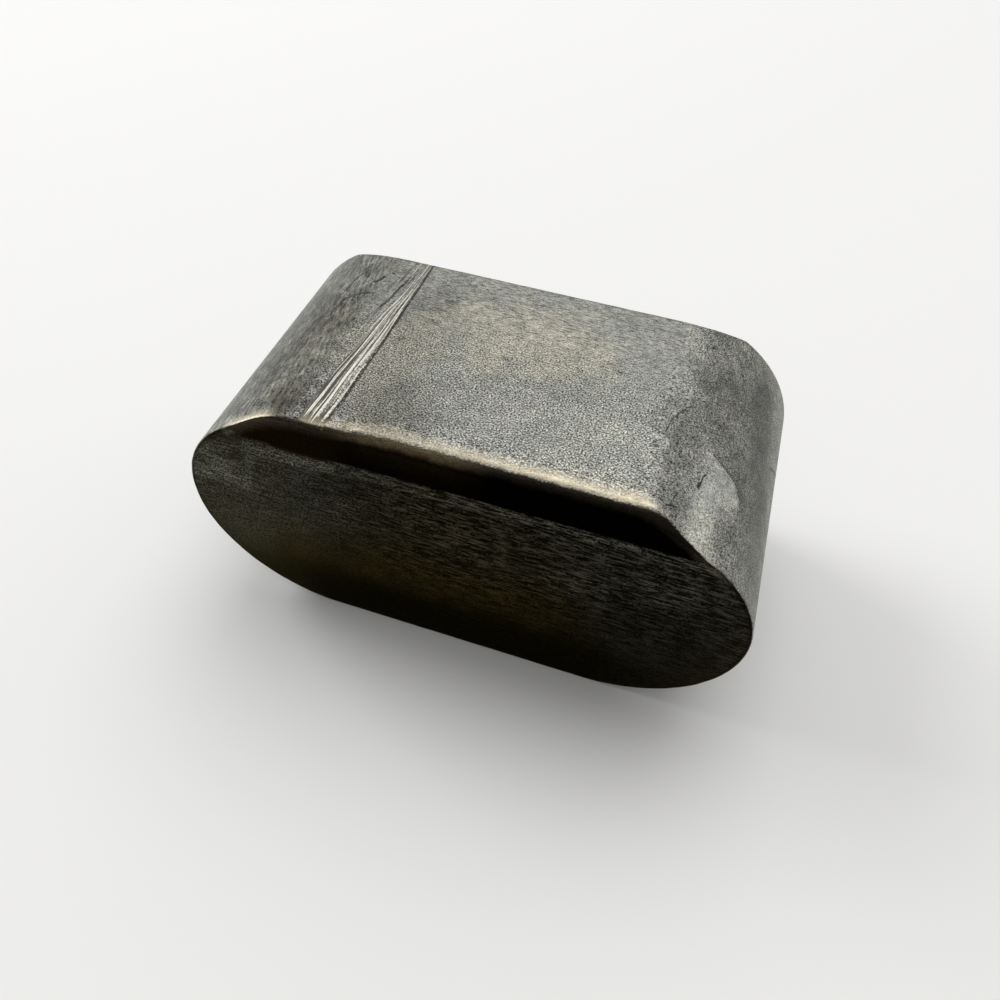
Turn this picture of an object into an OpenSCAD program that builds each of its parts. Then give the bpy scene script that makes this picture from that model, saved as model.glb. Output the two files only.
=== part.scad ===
// Machine key with two fully round ends, one solid piece of ground steel.
// It lies on a flat flank, as it does when it is put down on a bench.
// X runs along the key, Y from the near face to the far face, and Z up.
// The origin is the middle of the flank that the key rests on.

/* [Key] */
// Length over both round ends
key_length = 25.4; // [20:0.1:50]
// Width from the near face to the far face
key_width = 12.7; // [9:0.1:16]
// Height between the two flanks, and the diameter of the round ends
key_height = 12.7; // [10:0.1:16]

/* [Chamfers on the upper flank] */
// Near chamfer, measured down the near face
near_drop = 1.25; // [0.5:0.01:2]
// Near chamfer, measured back over the upper flank
near_back = 0.95; // [0.5:0.01:2]
// Far chamfer, measured down the far face
far_drop = 0.97; // [0.5:0.01:2]
// Far chamfer, measured back over the upper flank
far_back = 0.85; // [0.5:0.01:2]

/* [Ground facet on the right end] */
// Depth of the facet where it meets the near face
facet_depth = 0.15; // [0.1:0.01:0.6]
// Distance from the near face to the point where the facet fades out
facet_reach = 5.06; // [3:0.01:8]
// Lean of the facet from level, towards the right end
facet_lean = 27; // [25:0.5:45]

/* [Milled strip at the left end] */
// Distance from the start of the left round end to the strip's step
strip_inset = 1; // [0.5:0.05:2]
// Width of the strip at the near face
strip_width = 1.4; // [0.8:0.05:2]
// Distance from the near face to the point where the strip runs out
strip_reach = 11.25; // [6:0.05:12]
// Height of the strip's step at the near face
strip_depth = 0.1; // [0.05:0.01:0.2]

/* [Hidden] */
steel = [0.57, 0.56, 0.52];
round_facets = 180;
// Room that each cutting block has beyond the key
clear = 2;
end_radius = key_height / 2;
end_centre_x = key_length / 2 - end_radius;
near_y = -key_width / 2;
facet_tilt = atan(facet_depth / facet_reach);
step_x = strip_inset - end_centre_x;
strip_skew = atan(strip_width / strip_reach);
strip_dip = atan(strip_depth / (strip_width * cos(strip_skew)));

// Outline of the key, a square-cornered bar closed by a half circle at each end
module round_ended_outline() {
    translate([-end_centre_x, 0])
        square([2 * end_centre_x, key_height]);
    for (side = [-1, 1])
        translate([side * end_centre_x, end_radius])
            circle(r = end_radius, $fn = round_facets);
}

// The outline drawn out from the far face to the near face
module round_ended_bar() {
    translate([0, key_width / 2, 0])
        rotate([90, 0, 0])
            linear_extrude(height = key_width)
                round_ended_outline();
}

// Three-sided bar that takes the near upper edge off, and runs on past both faces
module chamfer_cut(drop, back) {
    past = 0.5;
    low = key_height - drop * (1 + past);
    high = key_height + drop * past;
    outside = near_y - back * past;
    inside = near_y + back * (1 + past);
    rotate([90, 0, 90])
        linear_extrude(height = key_length + 2 * clear, center = true)
            polygon([[outside, low], [inside, high], [outside, high]]);
}

// Block whose underside is the flat ground on the right end, deepest at the near face
module facet_cut() {
    block = key_width + key_height;
    translate([end_centre_x, near_y, end_radius])
        rotate([0, facet_lean, 0])
            translate([0, 0, end_radius - facet_depth])
                rotate([facet_tilt, 0, 0])
                    translate([-block / 2, -clear, 0])
                        cube([block, key_width, end_radius]);
}

// Thin wedge left of the step: its floor starts level with the flank and dips to the step
module strip_cut() {
    intersection() {
        translate([step_x - 2 * strip_width, near_y - clear, end_radius])
            cube([2 * strip_width, key_width + 2 * clear, key_height]);
        translate([step_x - strip_width, near_y, key_height])
            rotate([0, strip_dip, -strip_skew])
                translate([0, -clear, 0])
                    cube([2 * clear, strip_reach + 2 * clear, clear]);
    }
}

module machine_key() {
    color(steel)
        difference() {
            round_ended_bar();
            chamfer_cut(near_drop, near_back);
            mirror([0, 1, 0])
                chamfer_cut(far_drop, far_back);
            facet_cut();
            strip_cut();
        }
}

machine_key();
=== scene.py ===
"""A machine key with two fully round ends, in dull ground steel with its wear marks."""

import logging
import math
from dataclasses import dataclass, field
from enum import Enum
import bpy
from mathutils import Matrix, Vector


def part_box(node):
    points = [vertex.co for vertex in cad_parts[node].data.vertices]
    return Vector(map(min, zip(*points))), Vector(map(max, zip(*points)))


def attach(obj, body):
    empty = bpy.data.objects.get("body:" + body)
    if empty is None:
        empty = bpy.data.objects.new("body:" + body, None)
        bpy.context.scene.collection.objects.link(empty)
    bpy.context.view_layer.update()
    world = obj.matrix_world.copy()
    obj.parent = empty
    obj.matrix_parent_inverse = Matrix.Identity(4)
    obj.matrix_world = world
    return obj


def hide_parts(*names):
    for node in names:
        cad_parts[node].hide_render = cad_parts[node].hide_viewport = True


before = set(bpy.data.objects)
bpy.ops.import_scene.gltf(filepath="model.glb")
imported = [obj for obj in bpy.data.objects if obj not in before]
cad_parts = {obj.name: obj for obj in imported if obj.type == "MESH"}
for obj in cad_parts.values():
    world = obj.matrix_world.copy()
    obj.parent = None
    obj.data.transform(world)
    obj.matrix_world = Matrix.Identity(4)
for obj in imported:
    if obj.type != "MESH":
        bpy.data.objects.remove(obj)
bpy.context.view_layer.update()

from types import NoneType

import bpy
import numpy as np
from mathutils import Matrix, Vector

MM = 0.001
NODE = "machine_key"
# Default of a vector input, and the turn of a grain that isn't turned
ORIGIN = (0.0, 0.0, 0.0)
# Half size, in mm, of a patch in the direction that a chart doesn't have
FLAT_CHART = 1000.0
log = logging.getLogger(NODE)

Colour = tuple[float, float, float]
Plan = tuple[float, float]


@dataclass(frozen=True)
class Num:
    """A number or vector that a node tree works out, for use in plain arithmetic."""

    pad: "NodePad"
    socket: bpy.types.NodeSocket

    def __add__(self, other: object) -> "Num":
        """The sum."""
        return self.pad.maths("ADD", self, other)

    def __sub__(self, other: object) -> "Num":
        """The difference."""
        return self.pad.maths("SUBTRACT", self, other)

    def __rsub__(self, other: object) -> "Num":
        """The difference, from the other."""
        return self.pad.maths("SUBTRACT", other, self)

    def __mul__(self, other: object) -> "Num":
        """The product."""
        return self.pad.maths("MULTIPLY", self, other)

    def __truediv__(self, other: object) -> "Num":
        """The quotient."""
        return self.pad.maths("DIVIDE", self, other)

    def __rtruediv__(self, other: object) -> "Num":
        """The quotient, of the other."""
        return self.pad.maths("DIVIDE", other, self)

    def __neg__(self) -> "Num":
        """The number with its sign turned."""
        return self.pad.maths("MULTIPLY", self, -1.0)

    def __abs__(self) -> "Num":
        """The size of the number, without its sign."""
        return self.pad.maths("ABSOLUTE", self)

    __radd__ = __add__
    __rmul__ = __mul__


@dataclass
class NodePad:
    """Places nodes in one tree and joins them, so that a tree reads as arithmetic."""

    tree: bpy.types.NodeTree

    def feed(self, socket: bpy.types.NodeSocket, value: object) -> None:
        """Joins a node's input to a number of the tree, or sets it to a plain value.

        Args:
            socket: the input.
            value: a Num, a socket or a plain value.
        """
        if isinstance(value, Num):
            value = value.socket
        if isinstance(value, bpy.types.NodeSocket):
            self.tree.links.new(value, socket)
        else:
            socket.default_value = value

    def place(self, kind: str, inputs: dict | None = None, **settings: object) -> bpy.types.Node:
        """Adds one node.

        Args:
            kind: Blender's name for the node's type.
            inputs: a value for each input, by its name or number.
            settings: the node's own settings.

        Returns:
            The node.
        """
        node = self.tree.nodes.new(kind)
        for name, value in settings.items():
            setattr(node, name, value)
        for key, value in (inputs or {}).items():
            self.feed(node.inputs[key], value)
        return node

    def num(self, node: bpy.types.Node, output: str | int = 0) -> Num:
        """One output of a node, as a number."""
        return Num(self, node.outputs[output])

    def maths(self, operation: str, *values: object) -> Num:
        """The result of one Math node on the values given."""
        return self.num(self.place("ShaderNodeMath", dict(enumerate(values)), operation=operation))

    def vector(self, operation: str, *values: object) -> Num:
        """The result of one Vector Math node on the values given."""
        node = self.place("ShaderNodeVectorMath", dict(enumerate(values)), operation=operation)
        plain = operation in ("DOT_PRODUCT", "LENGTH", "DISTANCE")
        return self.num(node, "Value" if plain else "Vector")

    def scale(self, vector: Num, factor: object) -> Num:
        """A vector times a number."""
        node = self.place("ShaderNodeVectorMath", {0: vector, "Scale": factor}, operation="SCALE")
        return self.num(node, "Vector")

    def split(self, vector: Num) -> tuple[Num, Num, Num]:
        """The three parts of a vector."""
        node = self.place("ShaderNodeSeparateXYZ", {0: vector})
        return self.num(node, 0), self.num(node, 1), self.num(node, 2)

    def join(self, x: object, y: object, z: object) -> Num:
        """A vector from its three parts."""
        return self.num(self.place("ShaderNodeCombineXYZ", {0: x, 1: y, 2: z}))

    def ramp(self, value: object, low: object, high: object, start: object = 0.0, end: object = 1.0) -> Num:
        """A smooth step of the value, from start below low to end past high."""
        inputs = {0: value, 1: low, 2: high, 3: start, 4: end}
        return self.num(self.place("ShaderNodeMapRange", inputs, interpolation_type="SMOOTHSTEP"))

    def within(self, value: Num, rise: Plan, fall: Plan) -> Num:
        """A mask of a stretch, that rises over the first pair of places and falls over the second."""
        return self.ramp(value, *rise) * self.ramp(value, *fall, 1.0, 0.0)

    def spread(self, value: Num, stops: tuple[Plan, ...]) -> Num:
        """A chain of straight stretches through the stops.

        Args:
            value: the number that is read.
            stops: input and result at each stop, in rising order.

        Returns:
            The result.
        """
        total = stops[0][1]
        for (low, start), (high, end) in zip(stops, stops[1:]):
            share = self.place("ShaderNodeMapRange", {0: value, 1: low, 2: high, 3: 0.0, 4: end - start})
            total = self.num(share) + total
        return total

    def noise(self, place: object, scale: object = 1.0, detail: float = 2.0, rough: float = 0.5) -> Num:
        """Soft noise from 0 to 1, with a number of finer layers, and how strong they are."""
        inputs = {"Vector": place, "Scale": scale, "Detail": detail, "Roughness": rough}
        return self.num(self.place("ShaderNodeTexNoise", inputs), "Fac")

    def blend(self, share: object, first: object, second: object) -> Num:
        """A mix of two colours.

        Args:
            share: how much of the second is taken, from 0 to 1.
            first: the colour underneath.
            second: the colour on top.

        Returns:
            The mixed colour.
        """
        node = self.place("ShaderNodeMix", data_type="RGBA")
        for key, value in (("Factor_Float", share), ("A_Color", first), ("B_Color", second)):
            socket = next(item for item in node.inputs if item.identifier == key)
            self.feed(socket, (*value, 1.0) if isinstance(value, tuple) else value)
        return Num(self, next(item for item in node.outputs if item.identifier == "Result_Color"))

    def position(self) -> Num:
        """The place of each point, in a geometry tree."""
        return self.num(self.place("GeometryNodeInputPosition"))

    def moved(self, mesh: object, **how: Num) -> bpy.types.NodeSocket:
        """A mesh with its points moved by an Offset or to a Position."""
        return self.place("GeometryNodeSetPosition", {"Geometry": mesh, **how}).outputs[0]

    def noted(self, mesh: object, name: object, value: Num, domain: str) -> bpy.types.NodeSocket:
        """A mesh with a value kept in a named attribute, for each point or face."""
        inputs = {"Geometry": mesh, "Name": name, "Value": value}
        node = self.place("GeometryNodeStoreNamedAttribute", inputs, data_type="FLOAT", domain=domain)
        return node.outputs[0]

    def kept(self, name: object) -> Num:
        """A named value of the mesh, read back in a geometry tree."""
        node = self.place("GeometryNodeInputNamedAttribute", {"Name": name}, data_type="FLOAT")
        return self.num(node, "Attribute")


class TreeKind(Enum):
    """The two kinds of node tree, with the type of node that places a group in one."""

    GEOMETRY = ("GeometryNodeTree", "GeometryNodeGroup")
    SHADER = ("ShaderNodeTree", "ShaderNodeGroup")


class NodeRecipe:
    """A node group with named inputs and outputs, built once and placed where it is needed."""

    SOCKETS: dict[type, str] = {
        float: "NodeSocketFloat",
        tuple: "NodeSocketVector",
        str: "NodeSocketString",
        NoneType: "NodeSocketGeometry",
    }

    def __init__(self, name: str, kind: TreeKind, inputs: dict[str, object], *outputs: str) -> None:
        """Makes the empty group.

        Args:
            name: the group's name.
            kind: what the group is for.
            inputs: default of each input, which also gives its type. A mesh has None.
            outputs: names of the outputs: meshes in a geometry tree, or else numbers.
        """
        self.kind = kind
        self.tree = bpy.data.node_groups.new(name, kind.value[0])
        self.pad = NodePad(self.tree)
        self.identifiers: dict[str, str] = {}
        for label, default in inputs.items():
            socket_type = self.SOCKETS[type(default)]
            socket = self.tree.interface.new_socket(label, in_out="INPUT", socket_type=socket_type)
            self.identifiers[label] = socket.identifier
            if default is not None:
                socket.default_value = default
        given_out = self.SOCKETS[NoneType if kind is TreeKind.GEOMETRY else float]
        for label in outputs:
            self.tree.interface.new_socket(label, in_out="OUTPUT", socket_type=given_out)
        self.start = self.tree.nodes.new("NodeGroupInput")
        self.end = self.tree.nodes.new("NodeGroupOutput")

    def given(self, label: str) -> Num:
        """One of the group's inputs."""
        return self.pad.num(self.start, label)

    def give(self, **values: object) -> None:
        """Joins results to the group's outputs, by name."""
        for label, value in values.items():
            self.pad.feed(self.end.inputs[label], value)

    def placed(self, pad: NodePad, **values: object) -> bpy.types.Node:
        """Places the group in another tree.

        Args:
            pad: where it goes.
            values: a value for each input, by name.

        Returns:
            The group's node.
        """
        node = pad.place(self.kind.value[1], node_tree=self.tree)
        for label, value in values.items():
            pad.feed(node.inputs[label], value)
        return node

    def value(self, pad: NodePad, **values: object) -> Num:
        """Places the group in another tree, and gives its first output."""
        return pad.num(self.placed(pad, **values))


class Trace(Enum):
    """Names of the per-point values that the shape leaves for the finishes.

    They are in millimetres, apart from ACROSS, which is a share of the strip's width.
    """

    NEAR = "past_near_chamfer"
    FAR = "past_far_chamfer"
    MILLED = "inside_milled_strip"
    ACROSS = "across_milled_strip"

    def read(self, pad: NodePad) -> Num:
        """The value at the shaded point, in a material's tree."""
        node = pad.place("ShaderNodeAttribute", attribute_name=self.value)
        return pad.num(node, "Fac")


@dataclass(frozen=True)
class Chamfer:
    """A chamfer along an upper edge: how far it goes down the face and back over the flank."""

    drop: float
    back: float


@dataclass(frozen=True)
class Facet:
    """The flat ground on the right end: its deepest cut, its length, and its lean."""

    depth: float
    reach: float
    lean: float


@dataclass
class KeyForm:
    """The key's body as a rule: a bar with round ends, cut by a few planes, drawn by a node tree.

    Sizes are in metres. The near chamfer has other measures towards its two ends, and left_blend
    and right_blend say where they take over along the key. Over left_close it narrows to the
    share left_tip. Rounding is how softly a cut meets the surface: the near chamfer's over
    rounding_fade below the flank. The stops give how the cells of the grid are spread along,
    across and round the bar, as share of the cells and share of the way.
    """

    length: float
    width: float
    height: float
    near: Chamfer = Chamfer(drop=1.25 * MM, back=0.97 * MM)
    near_left: Chamfer = Chamfer(drop=1.3 * MM, back=0.56 * MM)
    near_right: Chamfer = Chamfer(drop=1.3 * MM, back=0.86 * MM)
    left_blend: Plan = (-6.6 * MM, -2.6 * MM)
    right_blend: Plan = (7.2 * MM, 10.5 * MM)
    left_close: Plan = (-9.5 * MM, -8.2 * MM)
    left_tip: float = 0.25
    near_rounding: Plan = (0.1 * MM, 0.03 * MM)
    rounding_fade: Plan = (0.45 * MM, 0.9 * MM)
    far: Chamfer = Chamfer(drop=0.97 * MM, back=0.85 * MM)
    far_rounding: float = 0.1 * MM
    facet: Facet = Facet(depth=0.15 * MM, reach=5.06 * MM, lean=math.radians(27.0))
    facet_rounding: float = 0.02 * MM
    edge_break: float = 0.07 * MM
    turn_down: float = math.radians(8.0)
    turn_reach: float = 0.62 * MM
    turn_rounding: float = 0.09 * MM
    roll_over: float = math.radians(31.0)
    roll_behind: float = 0.04 * MM
    roll_drop: float = 0.11 * MM
    roll_rounding: float = 0.05 * MM
    unevenness: float = 0.05 * MM
    cells: tuple[int, int, int] = (120, 108, 145)
    along: tuple[Plan, ...] = ((0.0, 0.0), (0.28, 0.088), (0.87, 0.95), (1.0, 1.0))
    across: tuple[Plan, ...] = ((0.0, 0.0), (0.21, 0.1), (0.86, 0.9), (1.0, 1.0))
    around: tuple[Plan, ...] = ((0.0, 0.0), (0.2, 0.33), (0.52, 0.66), (0.93, 0.98), (1.0, 1.0))

    @property
    def radius(self) -> float:
        """Radius of the round ends."""
        return self.height / 2

    @property
    def flat_half(self) -> float:
        """Half the length of the flat stretch between the round ends."""
        return self.length / 2 - self.radius

    def along_at(self, x: float) -> float:
        """How far along the wall, from the middle of the upper flank, a place along the key lies."""
        past = max(abs(x) - self.flat_half, 0.0)
        along = min(abs(x), self.flat_half) + self.radius * math.asin(min(past / self.radius, 1.0))
        return math.copysign(along, x)

    def plane_cut(self) -> NodeRecipe:
        """The group that pushes what stands proud of a plane back onto it, with rounded borders.

        Returns:
            The group. Its Trace is the name under which it leaves how far each point stood proud.
        """
        inputs = {
            "Geometry": None,
            "Point": ORIGIN,
            "Normal": ORIGIN,
            "Round": 0.03 * MM,
            "Unevenness": 0.0,
            "Trace": "",
        }
        recipe = NodeRecipe("plane_cut", TreeKind.GEOMETRY, inputs, "Geometry")
        pad = recipe.pad
        place, name = pad.position(), recipe.given("Trace")
        normal = pad.vector("NORMALIZE", recipe.given("Normal"))
        proud = pad.vector("DOT_PRODUCT", pad.vector("SUBTRACT", place, recipe.given("Point")), normal)
        wave = pad.noise(place, scale=0.9 / MM, detail=3.0, rough=0.6) - 0.5
        proud = proud + wave * recipe.given("Unevenness")
        noted = pad.noted(recipe.given("Geometry"), name, proud / MM, "POINT")
        depth = pad.maths("SMOOTH_MAX", pad.kept(name) * MM, 0.0, recipe.given("Round"))
        recipe.give(Geometry=pad.moved(noted, Offset=pad.scale(normal, -depth)))
        return recipe

    def bar(self, pad: NodePad, sizes: tuple[Num, Num, Num]) -> bpy.types.NodeSocket:
        """The plain bar with round ends, as one closed grid.

        Args:
            pad: the tree that it is drawn in.
            sizes: length over both round ends, width and height.

        Returns:
            The mesh, with the two faces marked in an attribute.
        """
        length, width, height = sizes
        counts = {f"Vertices {axis}": cells + 1 for axis, cells in zip("XYZ", self.cells)}
        cube = pad.place("GeometryNodeMeshCube", {"Size": (1.0, 1.0, 1.0), **counts})
        x, y, z = pad.split(pad.position())
        marked = pad.noted(cube.outputs["Mesh"], "on_face", pad.ramp(abs(y), 0.498, 0.4999), "FACE")
        radius = height * 0.5
        flat_half = length * 0.5 - radius
        angle = pad.spread(z + 0.5, self.around) * math.pi
        half_length = flat_half + radius * pad.maths("SINE", angle)
        new_x = (pad.spread(x + 0.5, self.along) - 0.5) * 2.0 * half_length
        new_y = (pad.spread(y + 0.5, self.across) - 0.5) * width
        new_z = radius - radius * pad.maths("COSINE", angle)
        return pad.moved(marked, Position=pad.join(new_x, new_y, new_z))

    def broken_edges(
        self, pad: NodePad, mesh: bpy.types.NodeSocket, sizes: tuple[Num, Num, Num]
    ) -> bpy.types.NodeSocket:
        """Takes the sharpness off the edges round both faces.

        Args:
            pad: the tree that it is drawn in.
            mesh: the plain bar.
            sizes: its length over both round ends, width and height.

        Returns:
            The mesh with a small uneven bevel round each face.
        """
        length, width, height = sizes
        x, y, z = pad.split(pad.position())
        radius = height * 0.5
        past = pad.maths("MAXIMUM", abs(x) - (length * 0.5 - radius), 0.0) * pad.maths("SIGN", x)
        up = z - radius
        reach = pad.maths("SQRT", past * past + up * up)
        wave = pad.noise(pad.join(x, y, z), scale=1.3 / MM, detail=2.0)
        broken = self.edge_break * (wave + 0.5)
        depth = ((reach - radius) + (abs(y) - width * 0.5) + broken) * math.sqrt(0.5)
        push = pad.maths("SMOOTH_MAX", depth, 0.0, self.edge_break * 0.3) * -math.sqrt(0.5)
        offset = pad.join(past / reach * push, pad.maths("SIGN", y) * push, up / reach * push)
        return pad.moved(mesh, Offset=offset)

    def tree(self, wall: bpy.types.Material, face: bpy.types.Material) -> NodeRecipe:
        """The whole shape as a geometry tree with its sizes as inputs.

        Args:
            wall: finish of the flanks and the round ends.
            face: finish of the two faces.

        Returns:
            The tree.
        """
        inputs = {name: 0.0 for name in ("Length", "Width", "Height", "Unevenness")}
        recipe = NodeRecipe("round_ended_key", TreeKind.GEOMETRY, inputs, "Geometry")
        pad = recipe.pad
        cut = self.plane_cut()
        length, width, height, uneven = (recipe.given(name) for name in inputs)
        mesh = self.bar(pad, (length, width, height))
        mesh = self.broken_edges(pad, mesh, (length, width, height))
        x, _, z = pad.split(pad.position())
        drop, back = self.near_chamfer(pad, x)
        face_y = width * -0.5
        turn_point = pad.join(0.0, face_y + back + self.turn_reach, height)
        turn_normal = (0.0, -math.sin(self.turn_down), math.cos(self.turn_down))
        near_point, near_normal = pad.join(0.0, face_y, height - drop), pad.join(0.0, -drop, back)
        near_rounding = pad.ramp(height - z, *self.rounding_fade, *self.near_rounding)
        roll_point = pad.join(0.0, face_y + back + self.roll_behind, height - self.roll_drop)
        roll_normal = (0.0, -math.sin(self.roll_over), math.cos(self.roll_over))
        far_point = pad.join(0.0, width * 0.5, height - self.far.drop)
        far_normal = (0.0, self.far.drop, self.far.back)
        cuts = (
            (*self.facet_plane(), self.facet_rounding, 0.0, "past_facet"),
            (turn_point, turn_normal, self.turn_rounding, 0.0, "past_turn_down"),
            (near_point, near_normal, near_rounding, uneven, Trace.NEAR.value),
            (roll_point, roll_normal, self.roll_rounding, uneven * 0.5, "past_roll_over"),
            (far_point, far_normal, self.far_rounding, uneven, Trace.FAR.value),
        )
        for point, normal, rounding, wave, trace in cuts:
            values = {"Point": point, "Normal": normal, "Round": rounding, "Unevenness": wave, "Trace": trace}
            mesh = cut.placed(pad, Geometry=mesh, **values).outputs[0]
        smooth = pad.place("GeometryNodeSetShadeSmooth", {0: mesh})
        real = pad.place("GeometryNodeRealizeInstances", {0: smooth.outputs[0]})
        walls = pad.place("GeometryNodeSetMaterial", {"Geometry": real.outputs[0], "Material": wall})
        chosen = pad.maths("GREATER_THAN", pad.kept("on_face"), 0.5)
        inputs = {"Geometry": walls.outputs[0], "Selection": chosen, "Material": face}
        recipe.give(Geometry=pad.place("GeometryNodeSetMaterial", inputs).outputs[0])
        return recipe

    def near_chamfer(self, pad: NodePad, x: Num) -> tuple[Num, Num]:
        """How far the near chamfer goes down and back at a place along the key."""
        left = pad.ramp(x, *self.left_blend, 1.0, 0.0)
        right = pad.ramp(x, *self.right_blend)
        near, near_left, near_right = self.near, self.near_left, self.near_right
        drop = near.drop + left * (near_left.drop - near.drop) + right * (near_right.drop - near.drop)
        back = near.back + left * (near_left.back - near.back) + right * (near_right.back - near.back)
        return drop, back * pad.ramp(x, *self.left_close, self.left_tip, 1.0)

    def facet_plane(self) -> tuple[tuple[float, float, float], tuple[float, float, float]]:
        """A point on the facet and its normal."""
        facet = self.facet
        arm = self.radius - facet.depth
        tilt = math.atan(facet.depth / facet.reach)
        sine, cosine = math.sin(facet.lean), math.cos(facet.lean)
        point = (self.flat_half + arm * sine, -self.width / 2, self.radius + arm * cosine)
        normal = (math.cos(tilt) * sine, -math.sin(tilt), math.cos(tilt) * cosine)
        return point, normal

    def mesh(self, name: str, wall: bpy.types.Material, face: bpy.types.Material) -> bpy.types.Mesh:
        """Runs the tree once and takes its result as a plain mesh.

        Args:
            name: the mesh's name.
            wall: finish of the flanks and the round ends.
            face: finish of the two faces.

        Returns:
            The mesh.
        """
        recipe = self.tree(wall, face)
        carrier = bpy.data.objects.new(f"{name}_carrier", bpy.data.meshes.new(f"{name}_carrier"))
        bpy.context.scene.collection.objects.link(carrier)
        modifier = carrier.modifiers.new("shape", "NODES")
        modifier.node_group = recipe.tree
        sizes = (self.length, self.width, self.height, self.unevenness)
        for identifier, value in zip(recipe.identifiers.values(), sizes):
            modifier[identifier] = value
        shaped = carrier.evaluated_get(bpy.context.evaluated_depsgraph_get())
        mesh = bpy.data.meshes.new_from_object(shaped)
        mesh.name = name
        carrier.modifiers.remove(modifier)
        bpy.data.objects.remove(carrier)
        return mesh


@dataclass
class MilledStrip:
    """The thin milled wedge beside the left round end, with the cutter's streaks.

    Both borders are given in plan, in millimetres, from the near end to the far end. The borders
    draw together there, and the streaks with them. Only points on the far side of near_end, and
    less than deepest below the flank, are moved. The depth is full where the strip is full_width.
    """

    left: tuple[Plan, ...] = (
        (-6.72, -5.9), (-6.66, -4.91), (-6.61, -4.24), (-6.56, -2.87), (-6.4, -1.62),
        (-6.3, -0.73), (-6.22, 0.5), (-6.12, 1.3), (-5.98, 2.1), (-5.84, 2.9), (-5.72, 3.8), (-5.58, 5.2),
    )
    step: tuple[Plan, ...] = (
        (-5.62, -5.9), (-5.48, -5.0), (-5.41, -4.2), (-5.38, -2.1), (-5.32, 0.0),
        (-5.33, 2.07), (-5.3, 3.57), (-5.32, 5.2),
    )
    depth: float = 0.085
    full_width: float = 1.0
    near_end: float = -6.3
    deepest: float = 0.4
    worn_border: float = 0.03
    streak_height: float = 0.015
    tallest_burr: float = 0.008
    streaks: int = 9
    seed: int = 5

    def border(self, points: tuple[Plan, ...], y: np.ndarray) -> np.ndarray:
        """Where one border lies, along the key, for each place across it."""
        table = np.array(points)
        return np.interp(y, table[:, 1], table[:, 0])

    def carve(self, points: np.ndarray, top: float) -> tuple[np.ndarray, np.ndarray]:
        """Sinks the strip into the mesh's points.

        Args:
            points: the points in millimetres, changed in place.
            top: height of the upper flank, in millimetres.

        Returns:
            For each point how far inside the strip it lies, and where between its borders.
        """
        x, y, z = points.T
        left = self.border(self.left, y)
        step = self.border(self.step, y)
        width = np.maximum(step - left, 0.01)
        share = (x - left) / width
        inside = np.minimum(x - left, step - x)
        on_top = z > top - self.deepest
        inside = np.where(on_top & (y > self.near_end), inside, -1.0)
        worn = np.clip(inside / self.worn_border, 0.0, 1.0)
        draws = np.random.default_rng(self.seed)
        ridge = np.zeros_like(x)
        for number in range(self.streaks):
            middle = (number + 0.3 + 0.4 * draws.random()) / self.streaks
            middle = middle + 0.02 * np.sin(y * draws.uniform(0.4, 1.1) + draws.uniform(0.0, 6.0))
            half = draws.uniform(0.25, 0.5) / self.streaks
            strength = 0.6 + 0.4 * np.sin(y * draws.uniform(0.5, 1.6) + draws.uniform(0.0, 6.0))
            ridge += strength * np.exp(-(((share - middle) / half) ** 2))
        narrow = np.clip(width / self.full_width, 0.1, 1.0)
        sink = self.depth * narrow * np.clip(share, 0.0, 1.0) - self.streak_height * ridge * narrow
        points[:, 2] -= worn * np.maximum(sink, -self.tallest_burr)
        return inside, share


@dataclass(frozen=True)
class Dent:
    """A shallow dent in the upper wall, by its place in plan, its half width and its depth, in mm."""

    x: float
    y: float
    half: float
    depth: float


@dataclass(frozen=True)
class Scratch:
    """A thin line on the upper wall, through points in plan, with its width, in mm."""

    points: tuple[Plan, ...]
    width: float


@dataclass(frozen=True)
class Patch:
    """A ragged area with its own shade, by its middle and half sizes on a surface's chart, in mm.

    The chart of the wall runs along the outline from the middle of the upper flank, and across
    the key. The chart of a face runs along the key, and up.
    """

    middle: Plan
    half: Plan
    shade: float
    warmth: float = 0.0


@dataclass(frozen=True)
class Grain:
    """Grain of short strokes: its size in mm, how far it is drawn out, and its turn in radians."""

    size: float
    stretch: float
    turn: tuple[float, float, float] = ORIGIN


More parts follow.
